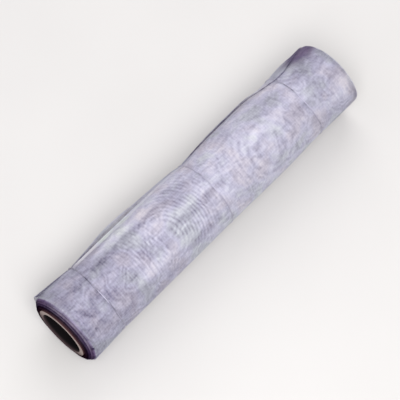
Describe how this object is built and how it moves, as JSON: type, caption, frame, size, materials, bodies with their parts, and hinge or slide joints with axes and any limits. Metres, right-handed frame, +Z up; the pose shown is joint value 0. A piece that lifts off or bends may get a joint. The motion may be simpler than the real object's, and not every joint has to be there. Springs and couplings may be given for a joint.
{
  "type": "roll of galvanized insect screen",
  "caption": "Roll of fine woven galvanised wire insect screen, wound on an open cardboard core and held by wire ties, with a loose last turn and telescoped ends.",
  "frame": {"origin": "on the flat spot that the roll rests on, halfway along the whole roll with its core, but for the lean of its far rim", "axes": "+X along the roll from the end where the core sticks out to the end where it is recessed, +Y towards the loose last turn's free edge, +Z up"},
  "size_m": [0.6294, 0.1343, 0.1274],
  "materials": {
    "galvanized_screen": "fine woven galvanised wire, matt, lilac grey",
    "kraft_board": "spiral-wound kraft cardboard, matt",
    "tie_wire": "dark annealed wire"
  },
  "bodies": {
    "root": {"screen_roll": "galvanized_screen", "core_tube": "kraft_board", "tie_1": "tie_wire", "tie_2": "tie_wire", "tie_3": "tie_wire"}
  },
  "joints": []
}
